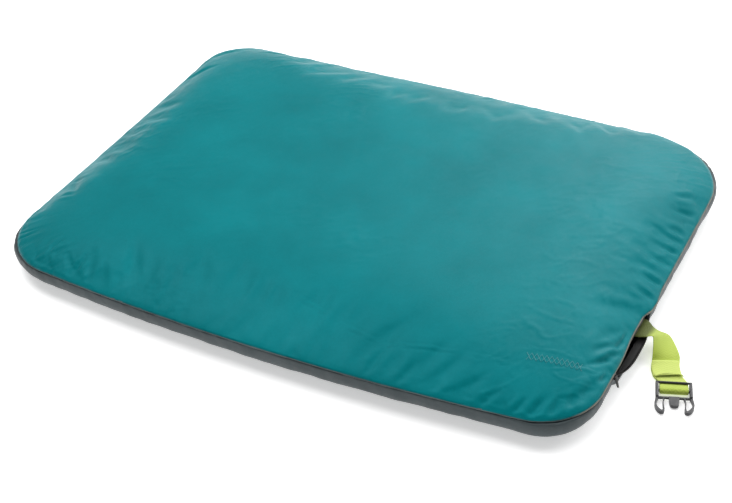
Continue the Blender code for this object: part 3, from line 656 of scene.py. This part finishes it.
def make_motif(surface):
    """A chain of diamonds: two crossing zigzags of raised thread that follow the cloth."""
    cloth = BVHTree.FromObject(surface, bpy.context.evaluated_depsgraph_get())
    start, end = Vector((*MOTIF_FROM, 0)), Vector((*MOTIF_TO, 0))
    along = (end - start).normalized()
    across = Vector((-along.y, along.x, 0))
    parts = []
    for side in (1, -1):
        corners = [start.lerp(end, index / MOTIF_CROSSINGS)
                   + across * MOTIF_HALF * side * (-1) ** index
                   for index in range(MOTIF_CROSSINGS + 1)]
        path = [a.lerp(b, step / 6) for a, b in zip(corners, corners[1:]) for step in range(6)]
        centres = []
        for point in path + corners[-1:]:
            hit = cloth.ray_cast(point + Vector((0, 0, 0.2)), Vector((0, 0, -1)))[0]
            centres.append(hit + Vector((0, 0, THREAD * 0.4)))
        parts.append(tube(f"zigzag_{side}", centres, THREAD, sides=6))
    return joined("stitched_motif", parts)


def joined(name, parts):
    """One object made of several, which are removed."""
    bm = bmesh.new()
    for part in parts:
        bm.from_mesh(part.data)
        bpy.data.objects.remove(part, do_unlink=True)
    mesh = bpy.data.meshes.new(name)
    bm.to_mesh(mesh)
    bm.free()
    mesh.shade_smooth()
    return new_object(name, mesh)


# Zip.

def lower_coil(y):
    """Line of the lower teeth, which drop outwards where the mouth is open."""
    opened = mouth_share(y)
    x = seam_x(y) - COIL_INSET + LIP_OUT * opened
    return np.stack([x, y, LOWER_COIL_Z - LIP_DROP * opened], 1)


def upper_coil(y):
    """Line of the upper teeth, which draw inwards where the mouth is open."""
    opened = mouth_share(y)
    return np.stack([seam_x(y) - COIL_INSET - LIP_IN * opened, y, np.full_like(y, UPPER_COIL_Z)], 1)


def make_tape(name, root, coil):
    """Zip tape from its sewn line to its teeth, sagging a little."""
    y = np.linspace(TAPE_FRONT, TAPE_BACK, 80)
    start, end = root(y), coil(y)
    rows = []
    for share in np.linspace(0, 0.97, 9):
        row = start + (end - start) * share
        sag = 4 * share * (1 - share)
        row[:, 0] += 0.0010 * sag * mouth_share(y)
        row[:, 2] += 0.0005 * sag * ripple(y, 0 * y, 0 * y, 0.012, 15)
        rows.append(row)
    tape = grid_object(name, np.array(rows))
    solid = tape.modifiers.new("thickness", "SOLIDIFY")
    solid.thickness, solid.offset = TAPE_THICK, 0
    apply_modifiers(tape)
    tape.data.shade_smooth()
    return tape


def make_teeth(name, line, flip):
    """Nylon coil: one small rounded loop for each tooth along the tape's edge."""
    y = np.arange(TAPE_FRONT + 0.003, MOUTH_BACK + 0.0015, TOOTH_PITCH)
    y = y + (TOOTH_PITCH / 2 if flip else 0)
    centres = line(y)
    bm = bmesh.new()
    for centre in centres:
        made = bmesh.ops.create_uvsphere(bm, u_segments=8, v_segments=6, radius=1.0)
        spot = Matrix.Translation(centre) @ Matrix.Diagonal((*TOOTH_HALF_SIZES, 1))
        bmesh.ops.transform(bm, matrix=spot, verts=made["verts"])
    mesh = bpy.data.meshes.new(name)
    bm.to_mesh(mesh)
    bm.free()
    mesh.shade_smooth()
    return new_object(name, mesh)


def lower_root(y):
    """Line where the lower tape is sewn to the grey shell."""
    return np.stack([seam_x(y) - 0.0030 + 0.0008 * mouth_share(y), y, np.full_like(y, NOTCH_Z)], 1)


def upper_root(y):
    """Line where the upper tape is sewn in at the seam."""
    return np.stack([seam_x(y) - 0.0022, y, np.full_like(y, SEAM_Z - 0.0018)], 1)


# Webbing.

INNER_LEFT = ((0.2700, -0.0858, 0.0071), (0.2840, -0.0858, 0.0071), (0.2910, -0.0858, 0.0082),
              (0.2990, -0.0854, 0.0140), (0.3080, -0.0836, 0.0208))
INNER_RIGHT = ((0.2700, -0.0604, 0.0071), (0.2840, -0.0604, 0.0071), (0.2910, -0.0604, 0.0082),
               (0.2990, -0.0602, 0.0144), (0.3080, -0.0585, 0.0222))
STRAP_LEFT = ((0.3192, -0.0812, 0.0212), (0.3222, -0.0802, 0.0214), (0.3258, -0.0788, 0.0218),
              (0.3300, -0.0742, 0.0202), (0.3318, -0.0766, 0.0150), (0.3341, -0.0838, 0.0085),
              (0.3352, -0.0885, 0.0036), (0.3373, -0.0970, 0.0016), (0.3421, -0.1058, 0.0015))
STRAP_RIGHT = ((0.3166, -0.0572, 0.0232), (0.3212, -0.0578, 0.0219), (0.3262, -0.0590, 0.0180),
               (0.3300, -0.0548, 0.0115), (0.3400, -0.0510, 0.0055), (0.3540, -0.0678, 0.0033),
               (0.3583, -0.0781, 0.0022), (0.3608, -0.0868, 0.0016), (0.3650, -0.0950, 0.0015))
TAIL_END, HEM_END = 0.35, 0.40
HEM_BOW, HEM_CURL = 0.0030, 0.0010       # the hem's edge bows back and curls up in its middle
# Lengths along the webbing: painted shade darkens it in the mouth up to the first and is gone by
# the second, and it is painted paler, as a painted highlight, from the third.
SHADE_PAINTED_TO, SHADE_GONE_FROM, TAIL_TRAVEL = 0.0600, 0.0680, 0.1600
YARN_PITCH, YARN_SLANT, RIB_PITCH = 0.0011, 0.9, 0.0032
LOOP_START = 0.0120
BAR_CLEARANCE = 0.0003
BAR_RADIUS = 0.0015


def bar_frame():
    """Centre of the buckle's web bar and its plan directions, from the buckle's joint."""
    joint = JOINTS["buckle_swing"]
    across = Vector(joint["axis"]).normalized()
    along = Vector((across.y, -across.x, 0))
    return Vector(joint["pos_m"]), along, across


def strap_edge(inner, outer, side, bar):
    """One edge of the webbing, and how much the hem's bow counts at each of its points."""
    centre, along, across = bar
    radius = BAR_RADIUS + BAR_CLEARANCE + WEB_THICK / 2
    layer = Vector((0, 0, WEB_THICK + BAR_CLEARANCE))
    lift = Vector((0, 0, 1))
    at_bar = centre + across * side * WEB_WIDTH / 2
    loop = [at_bar - along * LOOP_START - lift * radius, at_bar - lift * radius]
    for step in range(1, 12):
        angle = -math.pi / 2 + math.pi * step / 12
        loop.append(at_bar + radius * (along * math.cos(angle) + lift * math.sin(angle)))
    loop.append(at_bar + lift * radius)
    for back, height in ((0.0045, 0.0052), (0.0085, 0.0035), (0.0120, 0.0032)):
        loop.append(at_bar - along * back + lift * (height - centre.z))
    last_flat, flat, last = [Vector(point) for point in outer[-3:]]
    end = last_flat.lerp(flat, TAIL_END)
    hem_edge = last.lerp(loop[0], HEM_END)
    backwards = (end - flat).normalized()
    tail = smooth_path([loop[-1], last + layer, flat + layer, end + layer], 4)[1:]
    fold = [end + layer * rise + backwards * layer.z * out
            for rise, out in ((1.15, 0.40), (1.5, 0.60), (1.85, 0.40))]
    hem = smooth_path([point + 2 * layer for point in (end, flat, last, hem_edge)], 5)
    path = smooth_path(list(inner) + list(outer), 7)[:-1] + [Vector(outer[-1])]
    start = len(path) + len(loop) + len(tail) + len(fold)
    path = path + loop + tail + fold + hem
    bow = [0.0] * start + [max(0.0, step / (len(hem) - 1) - 0.5) * 2 for step in range(len(hem))]
    return path, bow


def make_strap():
    """Webbing from its anchor in the pocket, out of the mouth and round the buckle's bar."""
    bar = bar_frame()
    left, bow = strap_edge(INNER_LEFT, STRAP_LEFT, -1, bar)
    right, _ = strap_edge(INNER_RIGHT, STRAP_RIGHT, 1, bar)
    return webbing("strap_webbing", left, right, bow, bar[1])


def webbing(name, left, right, bow, along):
    """Flat woven strap between two edge paths, with rounded edges and UVs in metres."""
    sections = 12
    shares = [0.5 - 0.5 * math.cos(math.pi * step / sections) for step in range(sections + 1)]
    rows, travel = [], [0.0]
    last = len(left) - 1
    for index in range(len(left)):
        a, b = left[index], right[index]
        ahead, behind = min(index + 1, last), max(index - 1, 0)
        direction = (left[ahead] + right[ahead] - left[behind] - right[behind]).normalized()
        normal = (b - a).cross(direction).normalized()
        upper, lower = [], []
        for share in shares:
            edge = abs(2 * share - 1)
            half = WEB_THICK / 2 * (1 - edge ** 16 * 0.75)
            middle = a.lerp(b, share)
            hump = bow[index] ** 2 * (1 - edge ** 2)
            curl = Vector((0, 0, HEM_CURL * (0.4 * bow[index] ** 2 + hump)))
            middle = middle - along * HEM_BOW * hump + curl
            upper.append(middle + normal * half)
            lower.append(middle - normal * half)
        rows.append(upper + lower[::-1])
        if index:
            step = (left[index] + right[index] - left[index - 1] - right[index - 1]).length / 2
            travel.append(travel[-1] + step)
    strap = grid_object(name, np.array(rows), wrap_columns=True)
    columns = len(rows[0])
    across_uv = shares + shares[::-1]
    with edited(strap) as bm:
        layer = bm.loops.layers.uv.new("weave")
        bm.verts.ensure_lookup_table()
        for first in (0, last * columns):
            bm.faces.new([bm.verts[first + index] for index in range(columns)])
        for face in bm.faces:
            for corner in face.loops:
                row, column = divmod(corner.vert.index, columns)
                corner[layer].uv = (across_uv[column] * WEB_WIDTH, travel[row])
    return strap


# Materials.

class Shader:
    """Small helper that builds one node material."""

    def __init__(self, name):
        self.material = bpy.data.materials.new(name)
        self.material.use_nodes = True
        self.tree = self.material.node_tree
        self.surface = self.tree.nodes["Principled BSDF"]

    def node(self, kind, **values):
        made = self.tree.nodes.new(kind)
        for key, value in values.items():
            if hasattr(made, key):
                setattr(made, key, value)
            else:
                made.inputs[key.replace("_", " ")].default_value = value
        return made

    def link(self, source, target):
        self.tree.links.new(source, target)

    def set(self, **values):
        for key, value in values.items():
            self.surface.inputs[key.replace("_", " ")].default_value = value

    def coordinates(self, uv=None):
        if uv:
            return self.node("ShaderNodeUVMap", uv_map=uv).outputs["UV"]
        return self.node("ShaderNodeTexCoord").outputs["Object"]

    def feed(self, value, socket):
        """Set a socket to a constant, or link another node's output to it."""
        if isinstance(value, (int, float, tuple)):
            socket.default_value = value
        else:
            self.link(value, socket)

    def scaled(self, source, scale, turn=(0, 0, 0)):
        made = self.node("ShaderNodeMapping", Scale=scale, Rotation=turn)
        self.link(source, made.inputs["Vector"])
        return made.outputs["Vector"]

    def noise(self, source, scale, detail=3.0, roughness=0.55):
        made = self.node("ShaderNodeTexNoise", Scale=scale, Detail=detail, Roughness=roughness)
        self.link(source, made.inputs["Vector"])
        return made.outputs["Fac"]

    def wave(self, source, scale, direction):
        made = self.node("ShaderNodeTexWave", bands_direction=direction, Scale=scale)
        self.link(source, made.inputs["Vector"])
        return made.outputs["Fac"]

    def mix(self, factor, first, second):
        made = self.node("ShaderNodeMixRGB")
        for value, socket in ((factor, "Fac"), (first, "Color1"), (second, "Color2")):
            self.feed(value, made.inputs[socket])
        return made.outputs["Color"]

    def ramp(self, source, low, high, bottom=0.0, top=1.0):
        made = self.node("ShaderNodeMapRange", From_Min=low, From_Max=high,
                         To_Min=bottom, To_Max=top)
        self.link(source, made.inputs["Value"])
        return made.outputs["Result"]

    def math(self, operation, first, second):
        made = self.node("ShaderNodeMath", operation=operation)
        self.feed(first, made.inputs[0])
        self.feed(second, made.inputs[1])
        return made.outputs["Value"]

    def bump(self, height, strength, distance, below=None):
        made = self.node("ShaderNodeBump", Strength=strength, Distance=distance)
        self.link(height, made.inputs["Height"])
        if below is not None:
            self.link(below, made.inputs["Normal"])
        return made.outputs["Normal"]


def thread_scale(pitch):
    """Scale of a wave texture that gives about two threads of this pitch to a wave."""
    return 1 / pitch / 6.28


def woven(name, dark, light, pitch, roughness, sheen, crease, weave=0.00006, uv=None):
    """Plain-weave cloth: crossing threads, blotchy dye and small creases."""
    shader = Shader(name)
    place = shader.coordinates(uv)
    threads = shader.math("MULTIPLY", shader.wave(place, thread_scale(pitch), "X"),
                          shader.wave(place, thread_scale(pitch), "Y"))
    blotch = shader.noise(place, 14, 4)
    fleck = shader.noise(place, 420, 2)
    tone = shader.math("ADD", shader.math("MULTIPLY", blotch, 0.75),
                       shader.math("MULTIPLY", fleck, 0.25))
    colour = shader.mix(shader.ramp(tone, 0.32, 0.68), dark, light)
    shader.link(colour, shader.surface.inputs["Base Color"])
    rough = shader.ramp(shader.noise(place, 60, 3), 0.3, 0.7, roughness - 0.05, roughness + 0.06)
    shader.link(rough, shader.surface.inputs["Roughness"])
    stretched = shader.scaled(place, (1.0, 0.45, 1.0), (0, 0, 0.7))
    creases = shader.noise(stretched, 85, 5, 0.6)
    normal = shader.bump(creases, 0.5, crease)
    normal = shader.bump(threads, 0.6, weave, normal)
    shader.link(normal, shader.surface.inputs["Normal"])
    shader.set(Sheen_Weight=sheen, Sheen_Roughness=0.4)
    return shader


def teal_taffeta():
    shader = woven("teal_taffeta", (0.0006, 0.146, 0.162, 1), (0.0011, 0.188, 0.209, 1),
                   0.00032, 0.42, 0.06, 0.0006)
    shader.set(Sheen_Tint=(0.2, 0.85, 1.0, 1.0), Specular_IOR_Level=0.19,
               Specular_Tint=(0.10, 0.80, 1.0, 1.0))
    return shader.material


def embroidery():
    """Teal thread a little paler than the cloth it is sewn on."""
    return woven("teal_thread", (0.006, 0.20, 0.22, 1), (0.020, 0.29, 0.31, 1), 0.0003, 0.35, 0.2,
                 0.0002).material


def charcoal_shell():
    return woven("charcoal_shell", (0.027, 0.041, 0.045, 1), (0.040, 0.058, 0.064, 1),
                 0.00045, 0.62, 0.12, 0.0006).material


def piping_cloth():
    """Piping painted paler towards the zipped end and along the back, as a painted highlight where
    the cord catches the light.
    """
    shader = woven("piping_cloth", (0.030, 0.050, 0.052, 1), (0.085, 0.125, 0.130, 1),
                   0.0004, 0.5, 0.1, 0.0004)
    cloth = shader.surface.inputs["Base Color"].links[0].from_socket
    parts = shader.node("ShaderNodeSeparateXYZ")
    shader.link(shader.coordinates(), parts.inputs["Vector"])
    # Painted highlight: the cord is painted paler at the zipped end and along the back.
    painted_highlight = shader.math("MAXIMUM", shader.ramp(parts.outputs["X"], 0.304, 0.316),
                       shader.ramp(parts.outputs["Y"], 0.17, 0.21))
    colour = shader.mix(painted_highlight, cloth, (0.135, 0.135, 0.105, 1))
    shader.link(colour, shader.surface.inputs["Base Color"])
    return shader.material


def black_tape():
    return woven("black_tape", (0.004, 0.004, 0.004, 1), (0.011, 0.011, 0.011, 1),
                 0.0005, 0.8, 0.3, 0.0003).material


def white_fibre():
    return woven("white_fibre", (0.72, 0.72, 0.69, 1), (0.88, 0.88, 0.86, 1),
                 0.0011, 0.95, 0.6, 0.003).material


def lime_webbing(name, uv):
    """Ribbed webbing with a herringbone of thick yarns; the tail is painted paler, as a painted
    highlight.
    """
    shader = Shader(name)
    place = shader.coordinates(uv)
    slant, counter = (
        shader.wave(shader.scaled(place, (1, 1, 1), (0, 0, turn)), thread_scale(YARN_PITCH), "X")
        for turn in (YARN_SLANT, -YARN_SLANT))
    ribs = shader.wave(place, thread_scale(RIB_PITCH), "X")
    herring = shader.mix(shader.ramp(ribs, 0.45, 0.55), slant, counter)
    blotch = shader.noise(place, 60, 3)
    colour = shader.mix(shader.ramp(blotch, 0.3, 0.7),
                        (0.36, 0.47, 0.040, 1), (0.47, 0.585, 0.078, 1))
    yarns = shader.mix(herring, (0.26, 0.37, 0.03, 1), (0.53, 0.62, 0.10, 1))
    colour = shader.mix(0.35, colour, yarns)
    if uv:
        parts = shader.node("ShaderNodeSeparateXYZ")
        shader.link(place, parts.inputs["Vector"])
        # Painted highlight: the webbing is painted paler from TAIL_TRAVEL on, for the light that
        # the tail and its hem catch.
        tail = shader.ramp(parts.outputs["Y"], TAIL_TRAVEL, TAIL_TRAVEL + 0.001)
        colour = shader.mix(shader.math("MULTIPLY", tail, 0.40), colour, (0.76, 0.86, 0.26, 1))
        # Painted shade: the webbing is darkened olive up to the zip mouth, standing in for the
        # shade there.
        painted_shade = shader.ramp(parts.outputs["Y"], SHADE_PAINTED_TO, SHADE_GONE_FROM, 0.88, 0.0)
        colour = shader.mix(painted_shade, colour, (0.040, 0.055, 0.001, 1))
    shader.link(colour, shader.surface.inputs["Base Color"])
    shader.link(shader.bump(herring, 0.8, 0.00018), shader.surface.inputs["Normal"])
    shader.set(Roughness=0.72, Sheen_Weight=0.18, Sheen_Roughness=0.5)
    return shader.material


def moulded_plastic(name, colour, roughness):
    shader = Shader(name)
    place = shader.coordinates()
    grain = shader.noise(place, 2600, 2)
    scuffs = shader.noise(shader.scaled(place, (1, 0.2, 1)), 500, 4)
    scuffed = tuple(3 * part for part in colour[:3]) + (1,)
    tone = shader.mix(shader.ramp(scuffs, 0.62, 0.8), colour, scuffed)
    shader.link(tone, shader.surface.inputs["Base Color"])
    shader.link(shader.ramp(scuffs, 0.3, 0.75, roughness - 0.06, roughness + 0.12),
                shader.surface.inputs["Roughness"])
    shader.link(shader.bump(grain, 0.25, 0.00004), shader.surface.inputs["Normal"])
    return shader.material


def enamel():
    shader = Shader("black_enamel")
    place = shader.coordinates()
    wear = shader.noise(place, 900, 4)
    colour = shader.mix(shader.ramp(wear, 0.62, 0.72),
                        (0.012, 0.012, 0.013, 1), (0.35, 0.34, 0.33, 1))
    shader.link(colour, shader.surface.inputs["Base Color"])
    shader.link(shader.ramp(wear, 0.4, 0.75, 0.28, 0.5), shader.surface.inputs["Roughness"])
    shader.set(Metallic=0.6)
    return shader.material


def paint(target, material):
    target.data.materials.clear()
    target.data.materials.append(material)


# Stage.

FLOOR_HALF, FLOOR_DROP = 6.0, 0.0002     # the floor lies just under the pillow, clear of its base


def make_floor():
    mesh = bpy.data.meshes.new("floor")
    size, z = FLOOR_HALF, BASE_Z - FLOOR_DROP
    corners = [(-size, -size, z), (size, -size, z), (size, size, z), (-size, size, z)]
    mesh.from_pydata(corners, [], [(0, 1, 2, 3)])
    floor = new_object("floor", mesh)
    shader = Shader("pale_floor")
    shader.set(Base_Color=(0.97, 0.97, 0.97, 1), Roughness=0.9, Emission_Color=(1, 1, 1, 1),
               Emission_Strength=0.45)
    paint(floor, shader.material)


# Softboxes round the pillow: name, azimuth from +Y towards +X, elevation, size, power.
LIGHT_DISTANCE, SKY_STRENGTH = 2.4, 0.30
KEY, FILL, TOP = 30, 22, 17
STUDIO_LIGHTS = (("back", 0, 35, 1.6, KEY), ("back_right", 45, 35, 1.6, FILL),
                 ("left", 270, 60, 1.2, FILL), ("overhead", 0, 90, 1.6, TOP))


def area_light(name, location, size, power):
    light = bpy.data.lights.new(name, "AREA")
    light.shape, light.size, light.energy = "DISK", size, power
    lamp = bpy.data.objects.new(name, light)
    lamp.location = location
    lamp.rotation_euler = (-location).to_track_quat("-Z", "Y").to_euler()
    bpy.context.scene.collection.objects.link(lamp)


def direction(azimuth, elevation):
    """Unit vector at an azimuth from +Y towards +X and an elevation, both in radians."""
    return Vector((math.sin(azimuth) * math.cos(elevation),
                   math.cos(azimuth) * math.cos(elevation), math.sin(elevation)))


def make_lights():
    world = bpy.data.worlds.new("studio")
    world.use_nodes = True
    world.node_tree.nodes["Background"].inputs["Color"].default_value = (1, 1, 1, 1)
    world.node_tree.nodes["Background"].inputs["Strength"].default_value = SKY_STRENGTH
    bpy.context.scene.world = world
    for name, azimuth, elevation, size, power in STUDIO_LIGHTS:
        place = direction(math.radians(azimuth), math.radians(elevation))
        area_light(name, place * LIGHT_DISTANCE, size, power)
    bpy.context.scene.view_settings.view_transform = "Standard"


def make_camera():
    azimuth, elevation = math.radians(CAMERA_AZIMUTH), math.radians(CAMERA_ELEVATION)
    back = Vector((math.sin(azimuth) * math.cos(elevation),
                   -math.cos(azimuth) * math.cos(elevation), math.sin(elevation)))
    right = Vector((math.cos(azimuth), math.sin(azimuth), 0))
    right.rotate(Matrix.Rotation(math.radians(CAMERA_ROLL), 3, back))
    up = back.cross(right)
    data = bpy.data.cameras.new("camera")
    data.lens, data.sensor_width = CAMERA_LENS, 36.0
    camera = bpy.data.objects.new("camera", data)
    turn = Matrix((right, up, back)).transposed()
    place = CAMERA_TARGET + back * CAMERA_DISTANCE
    camera.matrix_world = Matrix.Translation(place) @ turn.to_4x4()
    bpy.context.scene.collection.objects.link(camera)
    bpy.context.scene.camera = camera


# Assembly.

make_camera()
make_lights()
make_floor()

top = make_top()
paint(top, teal_taffeta())
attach(top, "pillow")
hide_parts("top_panel")

for stuffing, node in zip(make_filling(), ("top_wadding", "stuffing_core")):
    paint(stuffing, white_fibre())
    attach(stuffing, "pillow")
    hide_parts(node)

motif = make_motif(top)
paint(motif, embroidery())
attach(motif, "pillow")

shell = charcoal_shell()
base = make_base()
paint(base, shell)
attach(base, "pillow")
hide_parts("bottom_panel")

cord = make_piping()
paint(cord, piping_cloth())
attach(cord, "pillow")
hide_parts("seam_piping")

tape_cloth = black_tape()
nylon = moulded_plastic("nylon_coil", (0.010, 0.010, 0.010, 1), 0.45)
coil_x = HALF_X + BOW_RIGHT - COIL_INSET
# Each side of the mouth: its name, root, coil, way that it opens and where it closes.
mouth_sides = (
    ("lower", lower_root, lower_coil, (LIP_OUT, 0, -LIP_DROP), (coil_x, 0, LOWER_COIL_Z)),
    ("upper", upper_root, upper_coil, (-LIP_IN, 0, 0), (coil_x, 0, UPPER_COIL_Z)),
)
for side, root, line, opening, closed_at in mouth_sides:
    cloth = make_tape(f"zip_cloth_{side}", root, line)
    paint(cloth, tape_cloth)
    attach(cloth, "pillow")
    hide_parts(f"zip_tape_{side}")
    teeth = make_teeth(f"zip_teeth_{side}", line, side == "upper")
    paint(teeth, nylon)
    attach(teeth, "pillow")
    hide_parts(f"zip_coil_{side}")
    for piece in (cloth, teeth):
        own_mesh(piece)

lime = lime_webbing("lime_webbing", "weave")
strap = make_strap()
paint(strap, lime)
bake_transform(strap)
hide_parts("strap_inner", "strap_outer")

plastic = moulded_plastic("buckle_plastic", (0.015, 0.015, 0.018, 1), 0.38)
for node in ("buckle_male_frame", "buckle_prong_left", "buckle_prong_right", "female_buckle_body"):
    paint(frame["nodes"][node], plastic)
pull_plastic = moulded_plastic("pull_plastic", (0.008, 0.008, 0.009, 1), 0.45)
paint(frame["nodes"]["zip_pull_tab"], pull_plastic)
metal = enamel()
for node in ("zip_slider_body", "zip_bottom_stop", "zip_top_stop_upper", "zip_top_stop_lower"):
    paint(frame["nodes"][node], metal)
for node in ("pocket_lining", "strap_anchor_patch"):
    paint(frame["nodes"][node], tape_cloth)
small_lime = lime_webbing("lime_tab", None)
for node in ("strap_anchor_bartack", "female_tab", "female_tab_bartack"):
    paint(frame["nodes"][node], small_lime)
